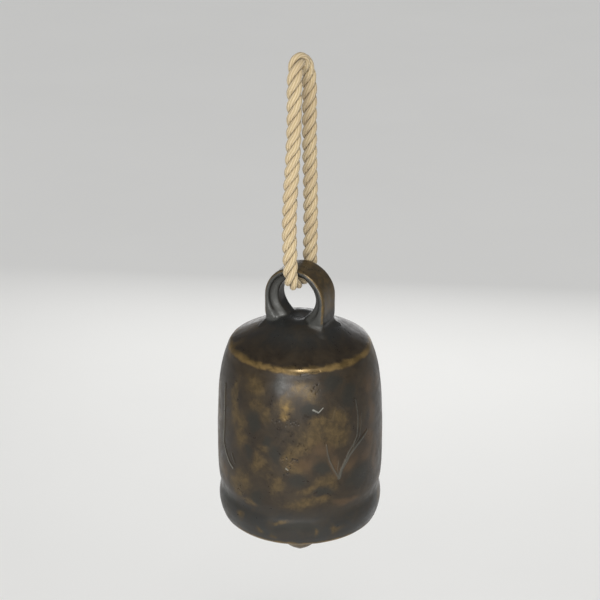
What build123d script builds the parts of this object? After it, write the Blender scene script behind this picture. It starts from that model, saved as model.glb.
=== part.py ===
# A rustic cast bell on an endless rope loop, with its clapper hanging inside.
# Millimetres. The origin is the underside of the rope's top bend, where the hook bears.
# +Z is up, and the hole of the ring on the crown runs along Y.
import os
from math import cos, pi, radians, tan

from build123d import *

os.makedirs("parts", exist_ok=True)

# ---- driving dimensions: heights with _h are measured up from the lip's lowest edge ----
lip_z = -260.7          # lip's lowest edge in the part's frame
lip_r = 44.0
lip_thick = 3.6         # half of it lies each side of the lip's lowest line
body_r = 47.1           # widest part of the body
shoulder_r = 39.2       # edge between body and crown
shoulder_h = 106.5
crown_h = 122.2
wall = 4.1

ring_r = 17.2           # ring on the crown, outside
ring_hole_r = 12.1
ring_w = 16.9           # along the hole
ring_h = 133.8          # hole's centre
ring_inner_round = 4.0
ring_outer_round = 1.0
root_h = 122.0          # where the ring's feet start to spread into the crown
root_spread = 3.2
root_drop = 5.2

rope_d = 8.0            # three-strand rope
rope_gap = 0.5          # rope to the ring's bar, at rest
leg_y = 13.4            # rope legs, beside the ring
hook_r = 5.5            # the hook or peg that the loop hangs on

staple_wire = 4.0
staple_bend_r = 6.0
staple_eye_h = 105.5    # centre of the staple's lowest bar
staple_leg_h = 119.0
link_wire = 3.0
link_bend_r = 5.0
rod_d = 4.0
rod_eye_r = 7.4         # forged eye: outside, hole and thickness
rod_eye_hole_r = 3.6
rod_eye_thick = 4.8
hang_gap = 0.35         # between hanging wires
clapper_pivot_h = 96.4
bob_r = 13.5
bob_h = -13.7           # ball's centre, just below the lip
bob_flat_h = -26.8
bob_neck_h = 10.0

centre = (0, 0, lip_z)  # bell pieces are drawn from the lip's plane up
side_plane = Plane(origin=centre, x_dir=(1, 0, 0), z_dir=(0, -1, 0))   # x across, z up
turning_plane = Plane(origin=centre, x_dir=(0.8, 0.6, 0), z_dir=(0.6, -0.8, 0))  # radius across
cross_plane = Plane(origin=centre, x_dir=(0, 1, 0), z_dir=(1, 0, 0))   # y across, z up
bell_axis = Axis(centre, (0, 0, 1))


def level(height):
    """Horizontal plane at a height above the lip."""
    return Plane.XY.offset(lip_z + height)


# ---- outer form of the casting: lip band, barrel body, shoulder and low cone ---------
lip_round_h = 1.6
lip_inner_r = lip_r - lip_thick
band_crest = (body_r - 0.4, 10.5)
groove = (body_r - 1.4, 19.0)
barrel_foot = (body_r - 0.5, 26.0)
barrel_top = (45.3, 84.5)
shoulder_mid = (43.1, 96.0)
cone_top = (16.0, 119.2)
shoulder_round = 1.2

with BuildPart() as envelope:
    with BuildSketch(turning_plane):
        with BuildLine():
            rim_edge = ThreePointArc((lip_inner_r, lip_round_h), (lip_r - lip_thick / 2, 0),
                                     (lip_r + 0.7, lip_round_h))
            lip_band = Spline(rim_edge @ 1, band_crest, groove, barrel_foot)
            barrel = ThreePointArc(barrel_foot, (body_r, 44.0), barrel_top)
            shoulder = ThreePointArc(barrel_top, shoulder_mid, (shoulder_r, shoulder_h))
            cone = Line(shoulder @ 1, cone_top)
            cap = Spline(cone_top, (0, crown_h), tangents=[cone % 1, (-1, 0)])
            Line(cap @ 1, (0, lip_round_h))
            Line((0, lip_round_h), rim_edge @ 0)
        make_face()
    revolve(axis=bell_axis)
    shoulder_edge = envelope.edges().filter_by(GeomType.CIRCLE).filter_by(
        lambda e: abs(e.radius - shoulder_r) < 0.01)
    fillet(shoulder_edge, radius=shoulder_round)

# ---- staple: a bent wire cast into the underside of the crown ------------------------
with BuildPart() as clapper_staple:
    with BuildLine(side_plane):
        left_leg = Line((-staple_bend_r, staple_leg_h),
                        (-staple_bend_r, staple_eye_h + staple_bend_r))
        staple_bend = ThreePointArc(left_leg @ 1, (0, staple_eye_h),
                                    (staple_bend_r, staple_eye_h + staple_bend_r))
        Line(staple_bend @ 1, (staple_bend_r, staple_leg_h))
    with BuildSketch(Plane(origin=(-staple_bend_r, 0, lip_z + staple_leg_h), z_dir=(0, 0, -1))):
        Circle(staple_wire / 2)
    sweep()
clapper_staple.part.label = "clapper_staple"
export_step(clapper_staple.part, "parts/clapper_staple.step")

# ---- bell shell: the hollow casting --------------------------------------------------
mouth_h = -5.0          # the cavity is cut from just below the lip
bow_top = (lip_inner_r + 1.0, 14.0)
inner_waist = (body_r - wall, 42.0)
inner_upper = (42.0, 70.0)
inner_bend = (40.7, 86.0)
inner_shoulder = (35.3, 102.6)
inner_cone_top = (14.5, 114.3)
boss_r = 12.0           # thick boss that holds the staple's legs
boss_h = 113.4

with BuildPart() as bell_shell:
    add(envelope.part)
    with BuildSketch(turning_plane):
        with BuildLine():
            mouth = Line((0, mouth_h), (lip_inner_r, mouth_h))
            lip_inside = Line(mouth @ 1, (lip_inner_r, lip_round_h))
            bow = Line(lip_inside @ 1, bow_top)
            inner_wall = Spline(bow_top, inner_waist, inner_upper, inner_bend, inner_shoulder)
            inner_cone = Line(inner_wall @ 1, inner_cone_top)
            Polyline(inner_cone_top, (boss_r, boss_h), (0, boss_h), mouth @ 0)
        make_face()
    revolve(axis=bell_axis, mode=Mode.SUBTRACT)
    add(clapper_staple.part, mode=Mode.SUBTRACT)
bell_shell.part.label = "bell_shell"
export_step(bell_shell.part, "parts/bell_shell.step")

# ---- ring on the crown: a broad band, soft inside the hole, its feet spread on the cone
flare_r = ring_hole_r + ring_inner_round
flare_y = ring_w / 2 - ring_inner_round
foot_h = 114.0
root_r = (root_spread ** 2 + root_drop ** 2) / (2 * root_spread)      # leaves the side upright

with BuildPart() as ring_hole:
    with BuildSketch(Plane.XY.offset(lip_z + ring_h)):
        with BuildLine():
            bore = Line((ring_hole_r, -flare_y), (ring_hole_r, flare_y))
            back_flare = RadiusArc(bore @ 1, (flare_r, ring_w / 2), -ring_inner_round)
            back = Polyline(back_flare @ 1, (flare_r, ring_w), (0, ring_w))
            front_flare = RadiusArc(bore @ 0, (flare_r, -ring_w / 2), ring_inner_round)
            front = Polyline(front_flare @ 1, (flare_r, -ring_w), (0, -ring_w))
            Line(back @ 1, front @ 1)
        make_face()
    revolve(axis=Axis((0, 0, lip_z + ring_h), (0, 1, 0)))

with BuildPart() as hanging_ring:
    with BuildSketch(side_plane):
        with BuildLine():
            arch = CenterArc((0, ring_h), ring_r, 0, 180)
            right_side = Line(arch @ 0, (ring_r, root_h))
            right_root = RadiusArc(right_side @ 1, (ring_r + root_spread, root_h - root_drop),
                                   -root_r)
            left_side = Line(arch @ 1, (-ring_r, root_h))
            left_root = RadiusArc(left_side @ 1, (-ring_r - root_spread, root_h - root_drop),
                                  root_r)
            Polyline(right_root @ 1, (ring_r + root_spread, foot_h),
                     (-ring_r - root_spread, foot_h), left_root @ 1)
        make_face()
    extrude(amount=ring_w, both=True)
    with BuildSketch(cross_plane):
        with BuildLine():
            crest = Line((-ring_w / 2, ring_h + 2 * ring_r), (ring_w / 2, ring_h + 2 * ring_r))
            back_side = Line(crest @ 1, (ring_w / 2, root_h))
            back_root = RadiusArc(back_side @ 1, (ring_w / 2 + root_spread, root_h - root_drop),
                                  -root_r)
            front_side = Line(crest @ 0, (-ring_w / 2, root_h))
            front_root = RadiusArc(front_side @ 1,
                                   (-ring_w / 2 - root_spread, root_h - root_drop), root_r)
            Polyline(back_root @ 1, (ring_w / 2 + root_spread, foot_h),
                     (-ring_w / 2 - root_spread, foot_h), front_root @ 1)
        make_face()
    extrude(amount=2 * ring_r, both=True, mode=Mode.INTERSECT)
    face_edges = hanging_ring.edges().filter_by(
        lambda e: e.center().Z > lip_z + root_h and abs(abs(e.center().Y) - ring_w / 2) < 0.01)
    fillet(face_edges, radius=ring_outer_round)
    add(ring_hole.part, mode=Mode.SUBTRACT)
    add(envelope.part, mode=Mode.SUBTRACT)
hanging_ring.part.label = "hanging_ring"
export_step(hanging_ring.part, "parts/hanging_ring.step")

# ---- link: a closed oval of wire that hangs in the staple ----------------------------
link_top_h = staple_eye_h + staple_wire / 2 + hang_gap + link_wire / 2
with BuildPart() as clapper_link:
    with BuildLine(cross_plane):
        link_back = Line((link_bend_r, clapper_pivot_h + link_bend_r),
                         (link_bend_r, link_top_h - link_bend_r))
        link_top = ThreePointArc(link_back @ 1, (0, link_top_h), (-link_bend_r, link_top_h - link_bend_r))
        link_front = Line(link_top @ 1, (-link_bend_r, clapper_pivot_h + link_bend_r))
        ThreePointArc(link_front @ 1, (0, clapper_pivot_h), link_back @ 0)
    with BuildSketch(Plane(origin=(0, link_bend_r, lip_z + clapper_pivot_h + link_bend_r),
                           z_dir=(0, 0, 1))):
        Circle(link_wire / 2)
    sweep()
clapper_link.part.label = "clapper_link"
export_step(clapper_link.part, "parts/clapper_link.step")

# ---- clapper rod: a forged eye, a straight shank, its end peened under the bob --------
eye_h = clapper_pivot_h + link_wire / 2 + hang_gap - rod_eye_hole_r
shank_top_h = eye_h - (rod_eye_r + rod_eye_hole_r) / 2
eye_inner_round = 2.0
eye_outer_round = 0.35
rivet_r = 3.1
rivet_h = 1.1
with BuildPart() as clapper_rod:
    with BuildSketch(side_plane):
        with Locations((0, eye_h)):
            Circle(rod_eye_r)
            Circle(rod_eye_hole_r, mode=Mode.SUBTRACT)
    extrude(amount=rod_eye_thick / 2, both=True)
    eye_edges = clapper_rod.edges().filter_by(GeomType.CIRCLE)
    fillet(eye_edges.filter_by(lambda e: e.radius < rod_eye_r - 1), radius=eye_inner_round)
    outer_edges = clapper_rod.edges().filter_by(GeomType.CIRCLE).filter_by(
        lambda e: abs(e.radius - rod_eye_r) < 0.01)
    fillet(outer_edges, radius=eye_outer_round)
    with BuildSketch(level(bob_flat_h)):
        Circle(rod_d / 2)
    extrude(amount=shank_top_h - bob_flat_h)
    with BuildSketch(turning_plane):
        with BuildLine():
            rivet_base = Line((0, bob_flat_h), (rivet_r, bob_flat_h))
            rivet_dome = Spline(rivet_base @ 1, (0, bob_flat_h - rivet_h), tangents=[(0, -1), (-1, 0)])
            Line(rivet_dome @ 1, rivet_base @ 0)
        make_face()
    revolve(axis=bell_axis)
clapper_rod.part.label = "clapper_rod"
export_step(clapper_rod.part, "parts/clapper_rod.step")

# ---- clapper bob: a ball that draws in to a neck, bored for the rod -------------------
bob_flat_r = (bob_r ** 2 - (bob_h - bob_flat_h) ** 2) ** 0.5
neck_start = (bob_r * cos(radians(45)), bob_h + bob_r * cos(radians(45)))
neck_r = 3.6
with BuildPart() as clapper_bob:
    with BuildSketch(turning_plane):
        with BuildLine():
            underside = Line((rod_d / 2, bob_flat_h), (bob_flat_r, bob_flat_h))
            ball = ThreePointArc(underside @ 1, (bob_r, bob_h), neck_start)
            neck = Spline(neck_start, (neck_r, bob_neck_h), tangents=[(-1, 1), (0, 1)])
            neck_top = Line(neck @ 1, (rod_d / 2, bob_neck_h))
            Line(neck_top @ 1, underside @ 0)
        make_face()
    revolve(axis=bell_axis)
clapper_bob.part.label = "clapper_bob"
export_step(clapper_bob.part, "parts/clapper_bob.step")

# ---- rope: one closed loop under the ring's bar and over the hook ---------------------
# Every run is straight, and each corner is an arc. The two bends under the bar have the bar's
# size and the bend at the top has the hook's; elsewhere an arc is as large as its runs allow.
bar_z = lip_z + ring_h + ring_hole_r - rope_gap - rope_d / 2
bar_bend_r = 8.0
half_turn = radians(22.5)
bend_z = bar_z + bar_bend_r - bar_bend_r * tan(half_turn)
bend_y = leg_y - bar_bend_r + bar_bend_r * tan(half_turn)
top_r = hook_r + rope_d / 2
top_side_z = rope_d / 2 - top_r + top_r * tan(radians(30))
top_apex_z = rope_d / 2 - top_r + top_r / cos(radians(30))

route = [
    (0.0, -bend_y, bar_z),
    (0.0, -leg_y, bend_z),
    (-0.3, -13.7, -101.5),
    (-0.4, -13.6, -77.0),
    (1.2, -11.0, -41.0),
    (1.1, -9.8, -15.0),
    (0.8, -top_r, top_side_z),
    (0.8, 0.0, top_apex_z),
    (1.0, top_r, top_side_z),
    (1.2, 9.9, -15.0),
    (0.6, 11.1, -43.0),
    (0.2, 13.5, -76.0),
    (0.4, 13.8, -101.5),
    (0.3, leg_y, bend_z),
    (0.2, bend_y, bar_z),
]
sized_corners = {0: bar_bend_r, 1: bar_bend_r, 6: top_r, 7: top_r, 8: top_r,
                 13: bar_bend_r, 14: bar_bend_r}


def corner_radii(points):
    """Arc radius at each corner of the closed route."""
    radii = []
    for i, point in enumerate(points):
        run_in = Vector(*point) - Vector(*points[i - 1])
        run_out = Vector(*points[(i + 1) % len(points)]) - Vector(*point)
        tangent = tan(radians(run_in.get_angle(run_out)) / 2)
        radius = 0.45 * min(run_in.length, run_out.length) / tangent
        if i in sized_corners:
            radius = min(sized_corners[i], 0.49 * min(run_in.length, run_out.length) / tangent)
        radii.append(radius)
    return radii


radii = corner_radii(route)
under_bar = (Vector(*route[-1]) + Vector(*route[0])) / 2
over_hook = (Vector(*route[7]) + Vector(*route[8])) / 2
halves = [
    ([under_bar, *route[:8], over_hook], radii[:8]),
    ([over_hook, *route[8:], under_bar], radii[8:]),
]
rope_length = 0
with BuildPart() as hanging_rope:
    for points, bends in halves:
        with BuildLine() as half_line:
            FilletPolyline(points, radius=bends)
        half_wire = half_line.wires()[0]
        rope_length += half_wire.length
        with BuildSketch(Plane(origin=half_wire @ 0, z_dir=half_wire % 0)):
            Circle(rope_d / 2)
        sweep()
hanging_rope.part.label = "hanging_rope"
export_step(hanging_rope.part, "parts/hanging_rope.step")

print("rope bend radii", [round(r, 1) for r in radii])
print("rope length", round(rope_length, 1), "volume", round(hanging_rope.part.volume, 1),
      "section x length", round(pi * rope_d ** 2 / 4 * rope_length, 1))
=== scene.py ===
import math
import random
import bpy
import numpy as np
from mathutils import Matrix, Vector, noise


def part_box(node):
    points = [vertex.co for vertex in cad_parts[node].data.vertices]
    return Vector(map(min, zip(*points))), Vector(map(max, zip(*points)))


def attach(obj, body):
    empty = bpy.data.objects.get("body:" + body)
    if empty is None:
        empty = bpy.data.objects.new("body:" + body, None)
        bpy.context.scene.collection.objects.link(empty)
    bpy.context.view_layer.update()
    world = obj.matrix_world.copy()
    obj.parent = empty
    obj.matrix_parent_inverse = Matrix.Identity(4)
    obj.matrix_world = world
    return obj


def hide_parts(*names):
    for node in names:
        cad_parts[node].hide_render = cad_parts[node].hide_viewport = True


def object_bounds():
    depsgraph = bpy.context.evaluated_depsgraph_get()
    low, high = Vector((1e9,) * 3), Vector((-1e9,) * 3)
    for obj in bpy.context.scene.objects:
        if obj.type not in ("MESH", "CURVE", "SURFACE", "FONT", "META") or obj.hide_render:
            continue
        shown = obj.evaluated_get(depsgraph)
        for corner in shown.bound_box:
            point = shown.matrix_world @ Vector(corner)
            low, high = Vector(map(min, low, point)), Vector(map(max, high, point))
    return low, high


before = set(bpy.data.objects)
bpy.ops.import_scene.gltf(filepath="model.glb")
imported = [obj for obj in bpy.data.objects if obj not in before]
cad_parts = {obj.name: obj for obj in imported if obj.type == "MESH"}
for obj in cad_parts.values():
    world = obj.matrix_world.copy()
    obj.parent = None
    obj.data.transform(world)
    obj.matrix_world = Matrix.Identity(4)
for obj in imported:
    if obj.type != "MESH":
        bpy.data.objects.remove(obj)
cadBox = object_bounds()

mm = 0.001
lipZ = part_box("bell_shell")[0].z         # the lip's lowest edge, from which heights are measured
noise.seed_set(8)                        # so that the patches wander the same way every time

# the camera stands above and to the right of the front
viewSet = {
    "lookAt": (0.0, 0.0, -0.1302),
    "distance": 0.88,
    "azimuth": 25.0,            # degrees round towards +X
    "elevation": 22.9,
    "lens": 95.4,
}


def addCamera(settings):
    azimuth = math.radians(settings["azimuth"])
    elevation = math.radians(settings["elevation"])
    back = Vector((math.sin(azimuth) * math.cos(elevation),
                   -math.cos(azimuth) * math.cos(elevation),
                   math.sin(elevation)))
    place = Vector(settings["lookAt"]) + back * settings["distance"]
    bpy.ops.object.camera_add(location=place)
    camera = bpy.context.object
    camera.rotation_euler = back.to_track_quat("Z", "Y").to_euler()
    camera.data.lens = settings["lens"]
    bpy.context.scene.camera = camera


addCamera(viewSet)
print("camera placed")


def startFresh():
    if bpy.context.mode != "OBJECT":
        bpy.ops.object.mode_set(mode="OBJECT")
    bpy.ops.object.select_all(action="DESELECT")


def pick(piece):
    startFresh()
    piece.select_set(True)
    bpy.context.view_layer.objects.active = piece


def applyAll(piece):
    pick(piece)
    for modifier in list(piece.modifiers):
        bpy.ops.object.modifier_apply(modifier=modifier.name)


def vertexPlaces(piece):
    places = np.empty(len(piece.data.vertices) * 3)
    piece.data.vertices.foreach_get("co", places)
    return places.reshape(-1, 3)


def addMask(piece, name, values):
    mask = piece.data.attributes.new(name, "FLOAT", "POINT")
    mask.data.foreach_set("value", np.asarray(values, dtype=np.float32))


def countTriangles(piece):
    return sum(len(face.vertices) - 2 for face in piece.data.polygons)


def easeStep(low, high, value):
    share = np.clip((value - low) / (high - low), 0.0, 1.0)
    return share * share * (3.0 - 2.0 * share)


def addWobble(piece, name, size, strength):
    texture = bpy.data.textures.new(name, "CLOUDS")
    texture.noise_scale = size
    texture.noise_depth = 2
    texture.noise_basis = "IMPROVED_PERLIN"
    wobble = piece.modifiers.new(name, "DISPLACE")
    wobble.texture = texture
    wobble.texture_coords = "LOCAL"
    wobble.strength = strength
    wobble.mid_level = 0.5


# colours are given as seen on a screen, 0 to 255, and turned linear here
def tone(red, green, blue):
    channels = []
    for value in (red, green, blue):
        share = value / 255
        channels.append(share / 12.92 if share < 0.04045 else ((share + 0.055) / 1.055) ** 2.4)
    return (*channels, 1.0)


def startMaterial(name):
    material = bpy.data.materials.new(name)
    material.use_nodes = True
    return material, material.node_tree.nodes, material.node_tree.links


def objectPlace(nodes):
    return nodes.new("ShaderNodeTexCoord").outputs["Object"]


def maskOf(nodes, name):
    reader = nodes.new("ShaderNodeAttribute")
    reader.attribute_name = name
    return reader.outputs["Fac"]


def noiseOf(nodes, links, place, scale, detail=4.0, roughness=0.55, distortion=0.0):
    grain = nodes.new("ShaderNodeTexNoise")
    grain.inputs["Scale"].default_value = scale
    grain.inputs["Detail"].default_value = detail
    grain.inputs["Roughness"].default_value = roughness
    grain.inputs["Distortion"].default_value = distortion
    links.new(place, grain.inputs["Vector"])
    return grain.outputs["Fac"]


def sumOf(nodes, links, operation, first, second, third=None):
    maths = nodes.new("ShaderNodeMath")
    maths.operation = operation
    for i, term in enumerate((first, second, third)):
        if term is None:
            continue
        if isinstance(term, (int, float)):
            maths.inputs[i].default_value = term
        else:
            links.new(term, maths.inputs[i])
    return maths.outputs["Value"]


def rangeOf(nodes, links, value, fromLow, fromHigh, toLow=0.0, toHigh=1.0):
    ranger = nodes.new("ShaderNodeMapRange")
    ranger.interpolation_type = "SMOOTHSTEP"
    ranger.inputs["From Min"].default_value = fromLow
    ranger.inputs["From Max"].default_value = fromHigh
    ranger.inputs["To Min"].default_value = toLow
    ranger.inputs["To Max"].default_value = toHigh
    links.new(value, ranger.inputs["Value"])
    return ranger.outputs["Result"]


# lays one colour over another where the factor is high
def coverOf(nodes, links, factor, under, over):
    cover = nodes.new("ShaderNodeMix")
    cover.data_type = "RGBA"
    links.new(factor, cover.inputs["Factor"])
    for socket, value in ((cover.inputs[6], under), (cover.inputs[7], over)):
        if isinstance(value, tuple):
            socket.default_value = value
        else:
            links.new(value, socket)
    return cover.outputs[2]


def bumpOf(nodes, links, height, strength, depth, before=None):
    bump = nodes.new("ShaderNodeBump")
    bump.inputs["Strength"].default_value = strength
    bump.inputs["Distance"].default_value = depth
    links.new(height, bump.inputs["Height"])
    if before:
        links.new(before, bump.inputs["Normal"])
    return bump.outputs["Normal"]


# the rope is one endless loop, from under the ring's bar, up over whatever holds it and back
ropeSet = {
    "diameter": 8 * mm,
    "strandRadius": 1.97 * mm,
    "strandOffset": 2.17 * mm,
    "strands": 3,
    "turns": 13,                # whole turns, so that each strand meets itself
    "startTurn": 0.12,
    "yarns": 8,
    "yarnTwist": -16,           # turns of the yarns in a strand, against the lay
    "yarnDepth": 0.07,
    "squeeze": 0.13,            # flatter where it bears on the ring's bar, for this length each way
    "squeezeLength": 11 * mm,
    "stations": 400,
    "around": 48,
}
underBar = (0.0001, 0.0, -0.1187)
ropeRoute = [
    (-0.0003, -0.0076, -0.1184),
    (0.0001, -0.0123, -0.1139),
    (0.0001, -0.01265, -0.1065),
    (-0.0003, -0.0136, -0.077),
    (0.0012, -0.0106, -0.041),
    (0.0011, -0.0092, -0.015),
    (0.001, -0.0089, -0.001),
    (0.0006, -0.0048, 0.0072),
    (0.001, 0.003, 0.005),
    (0.0012, 0.0088, -0.004),
    (0.0012, 0.0093, -0.017),
    (0.0006, 0.0107, -0.043),
    (0.0002, 0.0135, -0.076),
    (0.0004, 0.01265, -0.1065),
    (0.0003, 0.0123, -0.1139),
    (0.0002, 0.0076, -0.1184),
]


# a smooth line through the rope's middle, read from one open curve
def readRoute(points, stations):
    curve = bpy.data.curves.new("routeLine", "CURVE")
    curve.dimensions = "3D"
    spline = curve.splines.new("NURBS")
    spline.points.add(len(points) - 1)
    for control, place in zip(spline.points, points):
        control.co = (*place, 1.0)
    spline.order_u = 3
    spline.use_endpoint_u = True
    spline.resolution_u = 32
    holder = bpy.data.objects.new("routeLine", curve)
    bpy.context.scene.collection.objects.link(holder)
    line = bpy.data.meshes.new_from_object(holder)
    places = np.array([vertex.co[:] for vertex in line.vertices])
    bpy.data.objects.remove(holder)
    bpy.data.meshes.remove(line)
    steps = np.linalg.norm(np.diff(places, axis=0), axis=1)
    travelled = np.concatenate(([0.0], np.cumsum(steps)))
    wanted = np.linspace(0.0, travelled[-1], stations + 1)
    even = np.stack([np.interp(wanted, travelled, places[:, i]) for i in range(3)], axis=1)
    return even, travelled[-1]


# sideways and upwards directions carried along a line without twisting
def carryFrames(places):
    tangents = np.gradient(places, axis=0)
    tangents /= np.linalg.norm(tangents, axis=1)[:, None]
    side = np.cross(tangents[0], (1.0, 0.0, 0.0))
    sides = []
    for tangent in tangents:
        side = side - tangent * (side @ tangent)
        side /= np.linalg.norm(side)
        sides.append(side)
    sides = np.array(sides)
    return tangents, sides, np.cross(tangents, sides)


def meshRope(vertices, faces, corners, stations, around):
    mesh = bpy.data.meshes.new("rope")
    mesh.from_pydata([tuple(v) for v in vertices], [], faces)
    layer = mesh.uv_layers.new(name="alongStrand")
    places = np.array([(i / stations, j / around) for i, j in corners], dtype=np.float32)
    layer.data.foreach_set("uv", places.ravel())
    rope = bpy.data.objects.new("rope", mesh)
    bpy.context.scene.collection.objects.link(rope)
    mesh.polygons.foreach_set("use_smooth", [True] * len(mesh.polygons))
    mesh.update()
    pick(rope)
    bpy.ops.object.mode_set(mode="EDIT")
    bpy.ops.mesh.select_all(action="SELECT")
    bpy.ops.mesh.normals_make_consistent(inside=False)
    bpy.ops.object.mode_set(mode="OBJECT")
    return rope


def buildRope(settings):
    stations = settings["stations"]
    around = settings["around"]
    middle, length = readRoute([underBar, *ropeRoute, underBar], stations)
    tangents, sides, ups = carryFrames(middle)
    lastSide = sides[-1] - tangents[0] * (sides[-1] @ tangents[0])
    drift = math.atan2(lastSide @ ups[0], lastSide @ sides[0])
    middle, tangents, sides, ups = (rows[:-1] for rows in (middle, tangents, sides, ups))
    share = np.arange(stations) / stations
    swell = np.array([noise.noise(Vector((12.0 * math.cos(math.tau * s), 12.0 * math.sin(math.tau * s), 3.0)))
                      for s in share])
    fromBar = np.minimum(share, 1.0 - share) * length
    flat = 1.0 - settings["squeeze"] * np.exp(-(fromBar / settings["squeezeLength"]) ** 2)
    vertices = []
    faces = []
    depths = []
    yarnTops = []
    corners = []
    for strand in range(settings["strands"]):
        turn = math.tau * (settings["turns"] * share + strand / settings["strands"] + settings["startTurn"])
        turn = turn - drift * share
        turn = turn + 0.16 * np.roll(swell, 40 * strand)
        offset = settings["strandOffset"] * (1.0 + 0.03 * np.roll(swell, 90 * strand)) * flat
        outwards = np.cos(turn)[:, None] * sides + np.sin(turn)[:, None] * ups
        core = middle + outwards * offset[:, None]
        forward = np.roll(core, -1, axis=0) - np.roll(core, 1, axis=0)
        forward /= np.linalg.norm(forward, axis=1)[:, None]
        outwards = outwards - forward * np.sum(outwards * forward, axis=1)[:, None]
        outwards /= np.linalg.norm(outwards, axis=1)[:, None]
        across = np.cross(forward, outwards)
        base = len(vertices)
        for i in range(stations):
            twist = math.tau * settings["yarnTwist"] * share[i]
            fat = settings["strandRadius"] * (1.0 + 0.045 * swell[(i * 3 + 60 * strand) % stations]) * flat[i]
            for j in range(around):
                angle = math.tau * j / around
                lobe = abs(math.sin(settings["yarns"] * angle / 2)) ** 0.7
                reach = fat * (1.0 - settings["yarnDepth"] * (1.0 - lobe))
                angle += twist
                place = core[i] + reach * (math.cos(angle) * outwards[i] + math.sin(angle) * across[i])
                vertices.append(place)
                yarnTops.append(lobe)
                depths.append(np.linalg.norm(place - middle[i]))
        for i in range(stations):
            ahead = (i + 1) % stations
            for j in range(around):
                k = (j + 1) % around
                faces.append((base + i * around + j, base + i * around + k,
                              base + ahead * around + k, base + ahead * around + j))
                corners.extend(((i, j), (i, j + 1), (i + 1, j + 1), (i + 1, j)))
    rope = meshRope(vertices, faces, corners, stations, around)
    outerRadius = settings["strandOffset"] + settings["strandRadius"]
    # painted shade: the outside mask is low deep between the strands, where the rope is coloured darker as if
    # shaded
    addMask(rope, "outside", easeStep(0.50, 0.82, np.array(depths) / outerRadius))
    # yarnTop is low in the valleys between the yarns, which are coloured darker as painted shade
    addMask(rope, "yarnTop", yarnTops)
    return rope, middle, length


def paintRope():
    material, nodes, links = startMaterial("ropeCotton")
    shader = nodes["Principled BSDF"]
    place = objectPlace(nodes)
    strandMap = nodes.new("ShaderNodeUVMap")
    strandMap.uv_map = "alongStrand"
    stretch = nodes.new("ShaderNodeMapping")
    stretch.inputs["Scale"].default_value = (110.0, 40.0, 1.0)
    links.new(strandMap.outputs["UV"], stretch.inputs["Vector"])
    fibres = noiseOf(nodes, links, stretch.outputs["Vector"], 1.6, 6.0, 0.65, 0.3)
    patches = noiseOf(nodes, links, place, 70.0, 3.0)
    specks = noiseOf(nodes, links, place, 1100.0, 3.0)
    cream = coverOf(nodes, links, rangeOf(nodes, links, patches, 0.35, 0.68),
                    tone(198, 180, 146), tone(188, 168, 136))
    streaked = coverOf(nodes, links, rangeOf(nodes, links, fibres, 0.45, 0.75, 0.0, 0.75), cream,
                       tone(172, 152, 116))
    flecked = coverOf(nodes, links, rangeOf(nodes, links, specks, 0.66, 0.8, 0.0, 0.7), streaked,
                      tone(146, 122, 86))
    # painted shade: darker colour in the valleys between the yarns
    yarnShaded = coverOf(nodes, links, rangeOf(nodes, links, maskOf(nodes, "yarnTop"), 0.3, 0.85),
                     tone(168, 149, 112), flecked)
    # painted shade: dark colour laid deep in the grooves between the strands
    deep = coverOf(nodes, links, maskOf(nodes, "outside"), tone(96, 80, 54), yarnShaded)
    links.new(deep, shader.inputs["Base Color"])
    shader.inputs["Roughness"].default_value = 0.88
    shader.inputs["Specular IOR Level"].default_value = 0.2
    shader.inputs["Sheen Weight"].default_value = 0.2
    shader.inputs["Sheen Roughness"].default_value = 0.5
    fine = bumpOf(nodes, links, fibres, 0.8, 0.00025)
    links.new(bumpOf(nodes, links, specks, 0.35, 0.0001, fine), shader.inputs["Normal"])
    return material


rope, ropeMiddle, ropeLength = buildRope(ropeSet)
rope.data.materials.append(paintRope())
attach(rope, "rope")
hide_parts("hanging_rope")
print("rope laid, length in mm", round(ropeLength / mm, 1))

# the bell's outline, as radius and height in mm: over the crown, down the outside, up the inside
shellSet = {
    "outline": [
        (0.0, 120.9), (8.4, 120.5), (16.0, 119.1), (24.4, 114.6), (32.8, 110.0), (37.8, 107.3),
        (39.3, 106.1), (41.4, 101.3), (43.1, 96.0), (45.3, 84.5), (46.6, 66.0), (47.1, 48.0),
        (47.0, 34.0), (46.6, 26.0), (45.8, 21.2), (45.65, 18.9), (46.4, 14.6), (46.7, 11.0),
        (46.3, 7.4), (45.3, 3.4), (43.9, 0.6), (42.2, 0.0),
        (40.4, 1.6), (41.4, 14.0), (43.0, 42.0), (42.0, 70.0),
        (40.7, 86.0), (35.3, 102.6), (24.9, 108.45), (14.5, 114.3), (12.0, 113.4), (0.0, 113.4),
    ],
    "sharp": 3,                 # the last points, round the boss inside, are corners
    "resolution": 8,
    "steps": 240,
}
castLumps = [(16 * mm, 0.45 * mm), (5 * mm, 0.10 * mm)]     # size and height of the uneven casting


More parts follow.
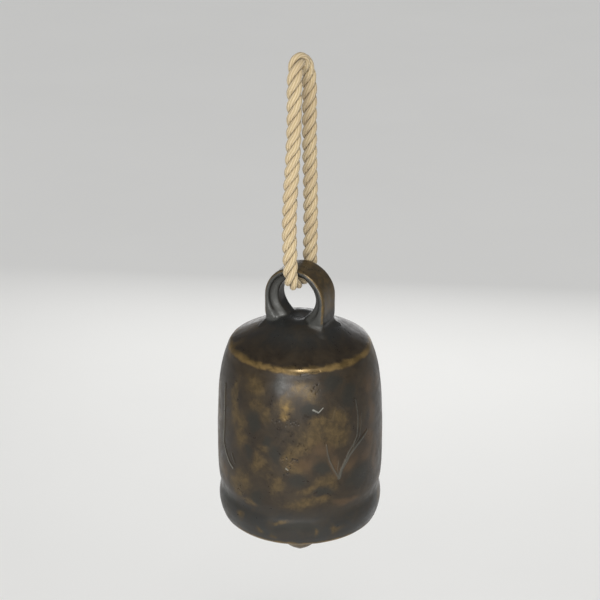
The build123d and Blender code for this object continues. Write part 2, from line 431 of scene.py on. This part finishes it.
# one closed outline turned round the bell's axis
def castRound(name, outline, sharp, resolution, steps):
    startFresh()
    bpy.ops.curve.primitive_bezier_curve_add(location=(0, 0, 0))
    curve = bpy.context.object
    spline = curve.data.splines[0]
    spline.bezier_points.add(len(outline) - len(spline.bezier_points))
    spline.resolution_u = resolution
    for i, (radius, height) in enumerate(outline):
        point = spline.bezier_points[i]
        point.co = (radius * mm, 0.0, lipZ + height * mm)
        kind = "VECTOR" if i >= len(outline) - sharp else "AUTO"
        point.handle_left_type = kind
        point.handle_right_type = kind
    crownPoint = spline.bezier_points[0]
    crownPoint.handle_left_type = "FREE"
    crownPoint.handle_right_type = "FREE"
    flat = Vector((2.8 * mm, 0.0, 0.0))
    crownPoint.handle_right = crownPoint.co + flat
    crownPoint.handle_left = crownPoint.co - flat
    bpy.ops.object.convert(target="MESH")
    piece = bpy.context.object
    piece.name = name
    piece.data.name = name
    bpy.ops.object.mode_set(mode="EDIT")
    bpy.ops.mesh.select_all(action="SELECT")
    bpy.ops.mesh.spin(steps=steps, angle=math.tau, center=(0, 0, 0), axis=(0, 0, 1))
    bpy.ops.mesh.select_all(action="SELECT")
    bpy.ops.mesh.remove_doubles(threshold=0.01 * mm)
    bpy.ops.mesh.normals_make_consistent(inside=False)
    bpy.ops.object.mode_set(mode="OBJECT")
    return piece


# one long stem is both raised and rubbed bright, so its points are kept apart
longStem = [(-131.5, 88), (-129.2, 75), (-129, 61), (-129.5, 53.5), (-126, 47.5), (-122, 43.5), (-117.3, 41)]
# strokes on the bell's outside: points as angle from +X in degrees and height in mm,
# the width in mm at the start and at the end, and how far they stand up in mm
sprigStrokes = [
    ([(-38, 42), (-42, 48), (-45, 54), (-46.5, 59), (-47, 63.5)], 1.1, 0.5, 0.45),
    ([(-38, 43), (-39, 48), (-38, 53)], 0.8, 0.4, 0.30),
    ([(-38, 42), (-36, 47), (-30, 54), (-26, 57), (-19, 61), (-12.5, 64.5)], 1.6, 0.7, 0.55),
    ([(-35, 49), (-30, 56.5), (-25.7, 60.5), (-23, 64.5), (-22, 71), (-22, 78), (-23, 86)], 1.0, 0.4, 0.45),
    ([(-26.5, 58.5), (-21, 63), (-19.3, 68), (-18.6, 77)], 0.8, 0.35, 0.35),
    ([(-42, 78), (-40.3, 83), (-36.5, 85), (-32.5, 82), (-31.8, 76)], 0.9, 0.4, 0.16),
    (longStem, 0.7, 1.1, 0.50),
    ([(-118.3, 49), (-115.4, 45)], 1.0, 0.7, 0.40),
    # the same plant again on the far side
    ([(142, 40), (138, 46), (131, 54), (127, 60), (120, 66)], 1.5, 0.7, 0.50),
    ([(142, 40), (146, 48), (150, 57), (151, 64)], 1.1, 0.5, 0.42),
    ([(140, 44), (135, 55), (131, 64), (130, 74), (131, 84)], 1.0, 0.4, 0.42),
    ([(50, 88), (47, 76), (46.5, 62), (48, 52), (53, 44), (58, 41)], 0.7, 1.1, 0.45),
]
scratchStrokes = [
    ([(-56, 85), (-52.3, 83.2), (-49, 85.6)], 0.9, 0.5, 0.7),
    ([(-74.5, 50.2), (-73, 49.2)], 0.7, 0.5, 0.8),
    (longStem, 0.5, 0.9, 0.5),
]
dentStrokes = [
    ([(-64, 104.2), (-57, 104.9), (-49.5, 105.2)], 0.9, 0.5, 0.28),
    ([(-38.5, 40.5), (-37, 38)], 1.0, 0.6, 0.25),
    ([(75, 58), (79, 60), (84, 59)], 0.9, 0.6, 0.35),
]
pitFields = [
    # middle angle, middle height, half width and half height in mm, number of pits
    (-75.0, 77.5, 8.0, 3.0, 40),
    (-71.0, 54.0, 5.5, 4.5, 24),
    (-74.0, 47.0, 3.0, 1.5, 8),
    (-53.0, 96.0, 3.0, 2.5, 7),
    (96.0, 70.0, 7.0, 4.0, 26),
]
sideRadius = 46.0               # mm, near enough for lengths round the side
degree = math.pi / 180


def unroll(places):
    angle = np.degrees(np.arctan2(places[:, 1], places[:, 0]))
    height = (places[:, 2] - lipZ) / mm
    radius = np.hypot(places[:, 0], places[:, 1]) / mm
    return angle, height, radius


def angleGap(angle, middle):
    return (angle - middle + 180.0) % 360.0 - 180.0


# distance in mm from places on the side to one run of a stroke, and the share of the run there
def runGap(angle, height, start, end):
    alongX = (end[0] - start[0]) * degree * sideRadius
    alongY = end[1] - start[1]
    fromX = angleGap(angle, start[0]) * degree * sideRadius
    fromY = height - start[1]
    share = np.clip((fromX * alongX + fromY * alongY) / (alongX ** 2 + alongY ** 2), 0.0, 1.0)
    return np.hypot(fromX - share * alongX, fromY - share * alongY), share


# how strongly tapering strokes mark each place
def strokeMark(angle, height, strokes):
    mark = np.zeros(len(angle))
    for points, startWidth, endWidth, lift in strokes:
        runs = len(points) - 1
        for i in range(runs):
            gap, share = runGap(angle, height, points[i], points[i + 1])
            width = startWidth + (endWidth - startWidth) * (i + share) / runs
            mark = np.maximum(mark, lift * (1.0 - easeStep(0.1, 1.0, gap / width)))
    return mark


def pitMark(angle, height, fields):
    dice = random.Random(11)
    mark = np.zeros(len(angle))
    for middleAngle, middleHeight, halfWide, halfHigh, count in fields:
        for _ in range(count):
            pitAngle = middleAngle + dice.gauss(0.0, 0.5) * halfWide / sideRadius / degree
            pitHeight = middleHeight + dice.gauss(0.0, 0.5) * halfHigh
            size = dice.uniform(0.35, 0.85)
            deep = dice.uniform(0.4, 1.0)
            gap = np.hypot(angleGap(angle, pitAngle) * degree * sideRadius, height - pitHeight)
            mark = np.maximum(mark, deep * (1.0 - easeStep(0.2, 1.0, gap / size)))
    return mark


# finer faces where strokes and pits come, so that they are shaped and not only shaded
def refineMarks(piece, margin):
    pick(piece)
    faces = piece.data.polygons
    middles = np.empty(len(faces) * 3)
    normals = np.empty(len(faces) * 3)
    faces.foreach_get("center", middles)
    faces.foreach_get("normal", normals)
    middles = middles.reshape(-1, 3)
    outwards = np.sum(middles[:, :2] * normals.reshape(-1, 3)[:, :2], axis=1) > 0
    angle, height, radius = unroll(middles)
    chosen = np.zeros(len(angle), dtype=bool)
    for points, _, _, _ in sprigStrokes + dentStrokes + scratchStrokes:
        for start, end in zip(points, points[1:]):
            chosen |= runGap(angle, height, start, end)[0] < margin
    for middleAngle, middleHeight, halfWide, halfHigh, _ in pitFields:
        aside = np.abs(angleGap(angle, middleAngle)) * degree * sideRadius
        chosen |= (aside < halfWide * 1.2) & (np.abs(height - middleHeight) < halfHigh * 1.2)
    chosen &= outwards & (radius > 38.0)
    bpy.ops.object.mode_set(mode="EDIT")
    bpy.ops.mesh.select_all(action="DESELECT")
    bpy.ops.object.mode_set(mode="OBJECT")
    faces.foreach_set("select", chosen)
    bpy.ops.object.mode_set(mode="EDIT")
    bpy.context.tool_settings.mesh_select_mode = (False, False, True)
    bpy.ops.mesh.subdivide(number_cuts=1)
    bpy.ops.object.mode_set(mode="OBJECT")


def addWeights(piece, name, weights, least):
    group = piece.vertex_groups.new(name=name)
    for index in np.nonzero(weights > least)[0]:
        group.add([int(index)], float(weights[index]), "REPLACE")


# raises or sinks the places that a mark names, with a weighted Displace
def carve(piece, name, mark, strength):
    addWeights(piece, name, mark, 0.003)
    push = piece.modifiers.new(name, "DISPLACE")
    push.vertex_group = name
    push.strength = strength
    push.mid_level = 0.0


# heights and spreads in mm of the bright lines rubbed along the shoulder and the lip
wearSet = {
    "shoulderHeight": 105.8,
    "shoulderSpread": 1.7,
    "lipSpread": 2.3,
}
# painted highlights: soft bright patches in the worn tone where the lamps' highlight falls, on the upper side
# and along the worn shoulder, as angle, height, half width and half height in mm
paintedHighlightPatches = [(-75, 86, 2.6, 3.4), (-76, 81, 3.2, 2.6), (-52, 105.5, 5, 1.2), (-70, 104.6, 6, 1.2)]
brassPatches = [
    (-117, 86, 3, 10), (-117.5, 73, 3, 8), (-110, 70, 4, 6), (-111, 60, 4, 7), (-101, 96, 5, 5),
    (-75, 86, 5, 6), (-91, 79.5, 4, 4), (-57, 92, 6, 6), (-66, 95, 5, 4), (-58, 69, 8, 7), (-50, 76, 6, 6),
    (-66, 62, 7, 6), (-72, 57, 6, 6), (-38, 80, 6, 7), (-44, 69, 6, 7), (-35, 68, 5, 6), (-94, 50, 7, 4.5),
    (-105, 60, 4, 6), (-106, 37, 7, 6), (-113, 33, 5, 7), (-101, 26, 6, 3), (-82, 40, 5, 6),
    (-62, 27.5, 8, 3), (-51, 28, 6, 3), (-112, 13, 2.4, 2.4), (-113, 4, 2.4, 1.8), (-95, 7.5, 2, 2),
    (-84, 5.5, 2.2, 2.4), (-57.5, 10, 2.6, 2.6), (-39, 11, 1.8, 3), (-78, 15.5, 6, 1.2),
    (-88, 61, 4, 4), (-97, 84, 4, 5), (-47, 40, 7, 6), (-60, 36, 7, 4), (-68, 50, 6, 5),
]
copperPatches = [
    (-25, 25, 7, 2.2), (-35, 26, 5, 2), (-6, 74, 3, 9), (-10, 58, 4, 8), (-14, 50, 5, 5), (-27, 49, 6, 5),
    (-4, 90, 4, 7), (-60, 50, 7, 6), (-44, 50, 5, 6), (-52, 60, 6, 6), (-2, 45, 4, 10), (-129, 35, 4, 7),
]
darkPatches = [
    (-80, 98, 5, 5), (-57.5, 84, 7, 4.5), (-40, 98, 6, 6), (-102, 54.5, 3, 4.5), (-81, 58, 4, 6),
    (-21, 38, 7, 7), (-94, 31, 4, 5), (-122, 19, 7, 4), (-86, 66, 4, 5), (-68, 44, 5, 4),
    (-52, 47, 5, 4), (-99, 76, 3.5, 7),
    (-70, 12, 10, 3), (-50, 34, 6, 3), (-28, 90, 5, 7),
]


def patchMark(angle, height, radius, patches):
    mark = np.zeros(len(angle))
    for middleAngle, middleHeight, halfWide, halfHigh in patches:
        aside = angleGap(angle, middleAngle) * np.maximum(radius, 12.0) * degree / halfWide
        above = (height - middleHeight) / halfHigh
        mark = np.maximum(mark, np.exp(-0.8 * (aside ** 2 + above ** 2)))
    return mark


# the same kind of patches scattered round the sides that the lists above leave bare
def scatterPatches(seed, count, low, high):
    dice = random.Random(seed)
    patches = []
    for _ in range(count):
        size = dice.uniform(2.8, 7.5)
        patches.append((dice.uniform(4, 226), dice.uniform(low, high), size, size * dice.uniform(0.6, 1.6)))
    return patches


# the patches' outlines wander, so places are shifted a little before they are looked up
def wander(places, size, reach):
    shifts = np.array([noise.noise_vector(Vector(place) / size) for place in places])
    return places + shifts * reach


def maskShell(shell, places, outside, relief, sunk):
    angle, height, radius = unroll(places)
    scratches = strokeMark(angle, height, scratchStrokes) * outside
    angle, height, radius = unroll(wander(places, 5 * mm, 0.7 * mm))
    fromShoulder = (height - wearSet["shoulderHeight"]) / wearSet["shoulderSpread"]
    worn = 0.95 * np.exp(-fromShoulder ** 2) * (radius > 30)
    worn = np.maximum(worn, np.exp(-(height / wearSet["lipSpread"]) ** 2))
    # painted highlight: the highlight patches are laid into the worn mask, beside the real wear on the
    # shoulder and the lip
    worn = np.maximum(worn, 0.75 * patchMark(angle, height, radius, paintedHighlightPatches))
    angle, height, radius = unroll(wander(wander(places, 14 * mm, 4.5 * mm), 4.5 * mm, 1.6 * mm))
    brass = patchMark(angle, height, radius, brassPatches + scatterPatches(5, 46, 24, 104))
    brass = np.maximum(brass, 0.8 * patchMark(angle, height, radius, scatterPatches(21, 20, 0, 18)))
    brass = np.maximum(brass, 0.7 * patchMark(angle, height, radius, scatterPatches(33, 12, 106, 116)))
    copper = patchMark(angle, height, radius, copperPatches + scatterPatches(9, 26, 22, 104))
    dark = patchMark(angle, height, radius, darkPatches + scatterPatches(14, 24, 14, 104))
    addMask(shell, "worn", worn * outside)
    addMask(shell, "relief", np.clip(relief * 2.0, 0.0, 1.0))
    addMask(shell, "scratch", scratches)
    addMask(shell, "sunk", sunk)
    addMask(shell, "inside", 1.0 - outside)
    addMask(shell, "darkened", dark * outside)
    addMask(shell, "brassy", np.clip(brass - 0.8 * dark, 0.0, 1.0) * outside)
    addMask(shell, "coppery", np.clip(copper - 0.8 * dark, 0.0, 1.0) * outside)


def buildShell(settings):
    shell = castRound("bell_casting", settings["outline"], settings["sharp"], settings["resolution"],
                      settings["steps"])
    refineMarks(shell, 2.4)
    refineMarks(shell, 1.5)
    places = vertexPlaces(shell)
    angle, height, radius = unroll(places)
    wallMiddle = np.interp(height, (-1, 1.0, 14, 42, 86, 103, 110, 125),
                           (41.5, 41.8, 43.5, 45.0, 42.6, 37.5, 27.0, -1.0))
    outside = (radius > wallMiddle).astype(float)
    relief = strokeMark(angle, height, sprigStrokes) * outside
    dents = strokeMark(angle, height, dentStrokes) * outside
    pits = pitMark(angle, height, pitFields) * outside
    for i, (size, lumpHeight) in enumerate(castLumps):
        addWobble(shell, "lumps" + str(i), size, lumpHeight)
    carve(shell, "sprig", relief, 1.0 * mm)
    carve(shell, "dents", dents, -1.0 * mm)
    carve(shell, "pits", pits, -0.4 * mm)
    applyAll(shell)
    pick(shell)
    bpy.ops.object.shade_smooth()
    maskShell(shell, places, outside, relief, np.clip(dents * 2.0 + pits, 0.0, 1.0))
    return shell


# the dark skin that the casting and its ring share; masks name the attributes that each one has
def paintPatina(name, masks):
    material, nodes, links = startMaterial(name)
    shader = nodes["Principled BSDF"]
    place = objectPlace(nodes)
    broad = noiseOf(nodes, links, place, 85.0, 5.0, 0.6, 0.8)
    medium = noiseOf(nodes, links, place, 300.0, 5.0, 0.65, 0.4)
    split = nodes.new("ShaderNodeSeparateXYZ")
    links.new(place, split.inputs["Vector"])
    level = split.outputs["Z"]
    ragged = sumOf(nodes, links, "MULTIPLY_ADD", medium, 0.8, -0.4)

    def raggedMask(key, low, high, share):
        edge = sumOf(nodes, links, "ADD", maskOf(nodes, masks[key]), ragged)
        return rangeOf(nodes, links, edge, low, high, 0.0, share)

    def plainMask(key, low, high, share):
        return rangeOf(nodes, links, maskOf(nodes, masks[key]), low, high, 0.0, share)

    skin = coverOf(nodes, links, rangeOf(nodes, links, broad, 0.36, 0.64), tone(40, 33, 25), tone(54, 45, 33))
    speckle = rangeOf(nodes, links, medium, 0.35, 0.65, 0.0, 0.5)
    skin = coverOf(nodes, links, speckle, skin, tone(44, 38, 30))
    lowZone = rangeOf(nodes, links, level, lipZ + 27 * mm, lipZ + 16 * mm)
    topZone = rangeOf(nodes, links, level, lipZ + 109 * mm, lipZ + 118 * mm)
    greyZone = sumOf(nodes, links, "MAXIMUM", lowZone, topZone)
    greyShare = sumOf(nodes, links, "MULTIPLY", greyZone, rangeOf(nodes, links, broad, 0.7, 0.3, 0.45, 0.9))
    skin = coverOf(nodes, links, greyShare, skin, tone(42, 43, 42))
    # painted sheen: light grey laid on the ring's flat faces, standing in for the glint of the frontal light
    if "face" in masks:
        skin = coverOf(nodes, links, plainMask("face", 0.1, 0.9, 0.8), skin, tone(72, 72, 69))
    if "dark" in masks:
        skin = coverOf(nodes, links, raggedMask("dark", 0.2, 0.9, 0.8), skin, tone(37, 36, 31))
    brassShare = raggedMask("brass", 0.02, 1.05, 0.85)
    ochre = coverOf(nodes, links, rangeOf(nodes, links, medium, 0.35, 0.68),
                    tone(72, 60, 40), tone(92, 76, 49))
    skin = coverOf(nodes, links, brassShare, skin, ochre)
    if "copper" in masks:
        skin = coverOf(nodes, links, raggedMask("copper", 0.05, 1.05, 0.75), skin, tone(76, 59, 40))
    # on the bell, the worn share carries real wear and the painted highlight patches
    wornShare = raggedMask("worn", 0.2, 1.0, 0.85)
    wornTone = coverOf(nodes, links, rangeOf(nodes, links, broad, 0.4, 0.6),
                       tone(104, 86, 54), tone(136, 112, 70))
    skin = coverOf(nodes, links, wornShare, skin, wornTone)
    if "relief" in masks:
        skin = coverOf(nodes, links, plainMask("relief", 0.1, 1.1, 0.5), skin, tone(84, 86, 80))
    if "scratch" in masks:
        skin = coverOf(nodes, links, plainMask("scratch", 0.1, 0.9, 0.8), skin, tone(150, 149, 140))
    if "sunk" in masks:
        skin = coverOf(nodes, links, plainMask("sunk", 0.2, 0.8, 0.75), skin, tone(24, 22, 20))
    polish = rangeOf(nodes, links, broad, 0.3, 0.7, 0.27, 0.42)
    polish = sumOf(nodes, links, "ADD", polish, rangeOf(nodes, links, medium, 0.3, 0.7, -0.03, 0.08))
    if "inside" in masks:
        inner = maskOf(nodes, masks["inside"])
        skin = coverOf(nodes, links, inner, skin, tone(52, 46, 38))
        polish = sumOf(nodes, links, "MULTIPLY_ADD", inner, 0.25, polish)
    links.new(skin, shader.inputs["Base Color"])
    links.new(polish, shader.inputs["Roughness"])
    shader.inputs["Specular IOR Level"].default_value = 0.3
    metal = sumOf(nodes, links, "MULTIPLY_ADD", brassShare, 0.25, 0.15)
    metal = sumOf(nodes, links, "MULTIPLY_ADD", wornShare, 0.5, metal)
    links.new(metal, shader.inputs["Metallic"])
    return material


shell = buildShell(shellSet)
# the bell's worn attribute holds real wear and painted highlight patches
shell.data.materials.append(paintPatina("bellPatina", {
    "brass": "brassy", "copper": "coppery", "worn": "worn", "relief": "relief", "sunk": "sunk",
    "inside": "inside", "dark": "darkened", "scratch": "scratch",
}))
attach(shell, "bell")
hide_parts("bell_shell")
print("bell cast, triangles", countTriangles(shell))

# the ring's feet run out into the crown, over a thin skirt that sinks into it
ringSet = {
    "skirt": [
        (0.0, 121.1), (5.6, 121.15), (8.2, 121.7), (10.0, 121.15), (16.0, 119.35), (21.0, 116.55),
        (24.0, 114.5), (27.0, 111.9), (26.0, 110.9), (16.0, 116.2), (0.0, 119.0),
    ],
    "skirtSharp": 3,
    "holeHeight": 133.8,        # the middle of the ring's hole, in mm above the lip
    "grain": 0.4 * mm,          # size of the remeshed cells
    "softening": 42,
    "footSoftening": 140,
    "swell": 0.75 * mm,         # makes up for what the softening takes off the band
}


# a CAD node's own shape as a new piece, with its loose triangles merged
def copyNode(node, pieceName):
    piece = bpy.data.objects.new(pieceName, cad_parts[node].data.copy())
    piece.data.name = pieceName
    piece.data.materials.clear()
    bpy.context.scene.collection.objects.link(piece)
    pick(piece)
    bpy.ops.object.mode_set(mode="EDIT")
    bpy.ops.mesh.select_all(action="SELECT")
    bpy.ops.mesh.remove_doubles(threshold=0.002 * mm)
    bpy.ops.object.mode_set(mode="OBJECT")
    return piece


def remeshPiece(piece, grain, softening):
    remesh = piece.modifiers.new("remesh", "REMESH")
    remesh.mode = "VOXEL"
    remesh.voxel_size = grain
    smooth = piece.modifiers.new("soften", "SMOOTH")
    smooth.factor = 0.5
    smooth.iterations = softening
    applyAll(piece)


def pointNormals(piece):
    normals = np.empty(len(piece.data.vertices) * 3)
    piece.data.vertices.foreach_get("normal", normals)
    return normals.reshape(-1, 3)


# smooths the feet into the crown, and swells the outer side back to its width
def easeFeet(ring, settings):
    places = vertexPlaces(ring)
    angle, height, radius = unroll(places)
    crown = np.interp(radius, (0.0, 8.4, 16.0, 32.8), (121.7, 121.4, 119.2, 110.0))
    nearCrown = 1.0 - easeStep(2.5, 7.0, np.abs(height - crown))
    reach = np.hypot(places[:, 0] / mm, height - settings["holeHeight"])
    onOutside = np.maximum(easeStep(13.5, 15.5, reach), easeStep(4.0, 9.0, np.abs(places[:, 0]) / mm))
    onOutside = onOutside * easeStep(119.0, 123.0, height)
    addWeights(ring, "feet", nearCrown, 0.01)
    addWeights(ring, "outerSide", onOutside, 0.01)
    feet = ring.modifiers.new("feet", "SMOOTH")
    feet.factor = 0.5
    feet.iterations = settings["footSoftening"]
    feet.vertex_group = "feet"
    swell = ring.modifiers.new("swell", "DISPLACE")
    swell.vertex_group = "outerSide"
    swell.strength = settings["swell"]
    swell.mid_level = 0.0
    applyAll(ring)


# marks the ring's worn outer band, its rubbed edges and the painted sheen on its flat faces
def maskRing(ring, settings):
    places = vertexPlaces(ring)
    normals = pointNormals(ring)
    height = (places[:, 2] - lipZ) / mm
    acrossX = places[:, 0] / mm
    acrossZ = np.maximum(height - settings["holeHeight"], 0.0)
    reach = np.hypot(acrossX, acrossZ)
    outward = (normals[:, 0] * acrossX + normals[:, 2] * acrossZ) / np.maximum(reach, 0.1)
    sideways = np.abs(normals[:, 1])
    farOut = easeStep(14.5, 16.0, reach)
    onBand = easeStep(0.55, 0.85, outward) * farOut * easeStep(124.0, 130.0, height)
    onEdge = easeStep(0.25, 0.5, outward) * easeStep(0.3, 0.55, sideways)
    onEdge = onEdge * farOut * easeStep(120.0, 124.0, height)
    # painted sheen: light grey on the ring's flat faces, front and back
    faceSheen = easeStep(0.25, 0.7, sideways) * easeStep(118.0, 121.0, height)
    addMask(ring, "face", faceSheen)
    addMask(ring, "band", 0.85 * onBand)
    addMask(ring, "edge", 0.75 * onEdge)


def buildRing(settings):
    skirt = castRound("skirt", settings["skirt"], settings["skirtSharp"], 6, 120)
    ring = copyNode("hanging_ring", "crown_ring")
    pick(ring)
    skirt.select_set(True)
    bpy.ops.object.join()
    remeshPiece(ring, settings["grain"], settings["softening"])
    easeFeet(ring, settings)
    for i, (size, lumpHeight) in enumerate(castLumps):
        addWobble(ring, "ringLumps" + str(i), size, lumpHeight)
    applyAll(ring)
    pick(ring)
    bpy.ops.object.shade_smooth()
    maskRing(ring, settings)
    return ring


ring = buildRing(ringSet)
# the ring's face mask is a painted sheen on its flat faces
ring.data.materials.append(paintPatina("ringPatina", {"brass": "band", "worn": "edge", "face": "face"}))
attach(ring, "bell")
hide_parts("hanging_ring")
print("ring cast, triangles", countTriangles(ring))

# the clapper's pieces: node, piece, body, slot, cell, softening, size and height of the hammer marks
clapperSet = [
    ("clapper_staple", "staple", "bell", "wrought_iron", 0.25 * mm, 3, 4 * mm, 0.35 * mm),
    ("clapper_link", "link", "link", "wrought_iron", 0.2 * mm, 2, 3 * mm, 0.15 * mm),
    ("clapper_rod", "rod", "clapper", "wrought_iron", 0.25 * mm, 3, 5 * mm, 0.3 * mm),
    ("clapper_bob", "bob", "clapper", "bob_brass", 0.3 * mm, 6, 5 * mm, 0.3 * mm),
]


def paintIron():
    material, nodes, links = startMaterial("forgedIron")
    shader = nodes["Principled BSDF"]
    place = objectPlace(nodes)
    scale = noiseOf(nodes, links, place, 350.0, 5.0, 0.6, 0.5)
    grit = noiseOf(nodes, links, place, 1800.0, 3.0)
    rustShare = rangeOf(nodes, links, scale, 0.48, 0.66, 0.0, 0.8)
    dull = coverOf(nodes, links, rangeOf(nodes, links, grit, 0.35, 0.65), tone(48, 46, 44), tone(74, 71, 67))
    links.new(coverOf(nodes, links, rustShare, dull, tone(92, 58, 36)), shader.inputs["Base Color"])
    links.new(sumOf(nodes, links, "MULTIPLY_ADD", rustShare, -0.7, 0.75), shader.inputs["Metallic"])
    links.new(sumOf(nodes, links, "MULTIPLY_ADD", rustShare, 0.35, 0.42), shader.inputs["Roughness"])
    rough = bumpOf(nodes, links, scale, 0.5, 0.0002)
    links.new(bumpOf(nodes, links, grit, 0.3, 0.0001, rough), shader.inputs["Normal"])
    return material


def paintBob():
    material, nodes, links = startMaterial("bobBrass")
    shader = nodes["Principled BSDF"]
    place = objectPlace(nodes)
    tarnish = noiseOf(nodes, links, place, 220.0, 5.0, 0.6, 0.5)
    grit = noiseOf(nodes, links, place, 1600.0, 3.0)
    dull = coverOf(nodes, links, rangeOf(nodes, links, tarnish, 0.36, 0.62),
                   tone(74, 62, 43), tone(100, 84, 54))
    struck = rangeOf(nodes, links, maskOf(nodes, "struck"), 0.3, 0.9, 0.0, 0.7)
    links.new(coverOf(nodes, links, struck, dull, tone(150, 126, 80)), shader.inputs["Base Color"])
    links.new(sumOf(nodes, links, "MULTIPLY_ADD", struck, 0.3, 0.55), shader.inputs["Metallic"])
    links.new(rangeOf(nodes, links, tarnish, 0.3, 0.7, 0.52, 0.36), shader.inputs["Roughness"])
    rough = bumpOf(nodes, links, tarnish, 0.3, 0.0002)
    links.new(bumpOf(nodes, links, grit, 0.25, 0.0001, rough), shader.inputs["Normal"])
    return material


def buildClapper(rows):
    finishes = {"wrought_iron": paintIron(), "bob_brass": paintBob()}
    for node, name, body, slotName, grain, softening, size, markHeight in rows:
        piece = copyNode(node, name)
        remeshPiece(piece, grain, softening)
        addWobble(piece, name + "Marks", size, markHeight)
        applyAll(piece)
        pick(piece)
        bpy.ops.object.shade_smooth()
        if name == "bob":       # drawn in below, and polished in a belt where it strikes the bell
            places = vertexPlaces(piece)
            low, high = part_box(node)
            widest = low.z + (high.x - low.x) / 2
            draw = 1.0 - 0.13 * easeStep(widest, low.z, places[:, 2])
            places[:, :2] *= draw[:, None]
            piece.data.vertices.foreach_set("co", places.ravel())
            piece.data.update()
            addMask(piece, "struck", np.exp(-((places[:, 2] - widest - 5 * mm) / (4 * mm)) ** 2))
        piece.data.materials.append(finishes[slotName])
        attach(piece, body)
        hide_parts(node)
        print(name, "forged, triangles", countTriangles(piece))


buildClapper(clapperSet)

# a pale floor well below the hanging bell, and soft studio lights
studioSet = {
    "floorDrop": 0.45,
    "floorSize": 40.0,
    "sun": ((0.30, -0.57, 0.77), 14.0, 1.9),           # direction it comes from, spread in degrees, strength
    "lights": [
        # name, place, width, height, power
        ("softBox", (0.04, -1.35, 0.08), 0.42, 0.42, 4.6),
        ("wideBox", (0.6, -1.45, -0.06), 1.5, 0.3, 13.0),
        ("sideBox", (1.4, -0.5, 0.2), 0.8, 0.8, 1.2),
        ("backBox", (-0.5, 1.45, -0.15), 1.2, 0.6, 4.0),
    ],
    "roomStrength": 0.23,
}


def aimLight(light, place):
    light.rotation_euler = Vector(place).to_track_quat("Z", "Y").to_euler()


def buildStudio(settings):
    startFresh()
    floorZ = cadBox[0].z - settings["floorDrop"]
    bpy.ops.mesh.primitive_plane_add(size=settings["floorSize"], location=(0, 0, floorZ))
    floor = bpy.context.object
    floor.name = "studio_floor"
    bpy.ops.object.transform_apply(location=True)
    material, nodes, links = startMaterial("paleFloor")
    shader = nodes["Principled BSDF"]
    cloudy = noiseOf(nodes, links, objectPlace(nodes), 3.0, 3.0)
    links.new(coverOf(nodes, links, cloudy, tone(238, 237, 234), tone(243, 242, 239)),
              shader.inputs["Base Color"])
    shader.inputs["Roughness"].default_value = 0.8
    floor.data.materials.append(material)
    direction, spread, strength = settings["sun"]
    bpy.ops.object.light_add(type="SUN", location=direction)
    sun = bpy.context.object
    sun.name = "skylight"
    sun.data.angle = math.radians(spread)
    sun.data.energy = strength
    aimLight(sun, direction)
    for name, place, width, height, power in settings["lights"]:
        bpy.ops.object.light_add(type="AREA", location=place)
        light = bpy.context.object
        light.name = name
        light.data.shape = "RECTANGLE"
        light.data.size = width
        light.data.size_y = height
        light.data.energy = power
        aimLight(light, Vector(place) - Vector(viewSet["lookAt"]))
    world = bpy.data.worlds.new("softRoom")
    world.use_nodes = True
    background = world.node_tree.nodes["Background"]
    background.inputs["Color"].default_value = tone(225, 228, 232)
    background.inputs["Strength"].default_value = settings["roomStrength"]
    bpy.context.scene.world = world


buildStudio(studioSet)
bpy.context.scene.view_settings.view_transform = "Standard"
print("studio set")
